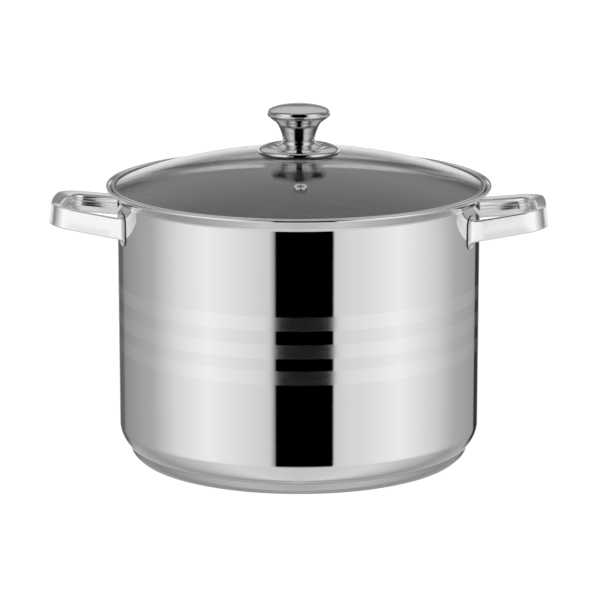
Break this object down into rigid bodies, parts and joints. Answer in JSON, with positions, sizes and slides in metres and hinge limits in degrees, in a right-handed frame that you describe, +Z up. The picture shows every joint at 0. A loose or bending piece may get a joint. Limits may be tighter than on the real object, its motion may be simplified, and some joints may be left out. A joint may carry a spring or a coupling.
{
  "type": "stock pot",
  "caption": "Tall steel stock pot with a capsule base, hollow loop handles and a lift-off domed glass lid with a knob and steam vent.",
  "frame": {"origin": "centre of the pot's underside, where it rests on the hob or table", "axes": "+Z up along the pot's axis; X runs through the two handles; Y is across"},
  "size_m": [0.385, 0.2974, 0.2738],
  "materials": {
    "body_steel": "mirror-polished stainless steel with three brushed bands",
    "base_steel": "satin stainless steel",
    "core_aluminium": "as rolled",
    "handle_steel": "mirror-polished stainless steel",
    "lid_glass": "clear tempered glass",
    "band_steel": "polished stainless steel",
    "silicone": "dark silicone",
    "fitting_steel": "bright zinc-plated steel",
    "knob_steel": "polished stainless steel"
  },
  "bodies": {
    "pot": {"base_cap": "base_steel", "base_core": "core_aluminium", "left_front_handle_foot": "handle_steel", "left_handle_lower_half": "handle_steel", "left_handle_upper_half": "handle_steel", "left_rear_handle_foot": "handle_steel", "pot_shell": "body_steel", "right_front_handle_foot": "handle_steel", "right_handle_lower_half": "handle_steel", "right_handle_upper_half": "handle_steel", "right_rear_handle_foot": "handle_steel"},
    "lid": {"knob_base": "knob_steel", "knob_cap": "knob_steel", "knob_insert": "fitting_steel", "knob_lower_gasket": "silicone", "knob_neck": "knob_steel", "knob_screw": "fitting_steel", "knob_upper_gasket": "silicone", "knob_washer": "fitting_steel", "lid_glass": "lid_glass", "lid_rim_band": "band_steel", "lid_rim_sealant": "silicone", "vent_eyelet": "fitting_steel", "vent_washer": "fitting_steel"}
  },
  "joints": [
    {"name": "lid_lift", "type": "slide", "parent": "pot", "child": "lid", "axis": [0, 0, 1], "range_m": [0, 0.2]}
  ]
}
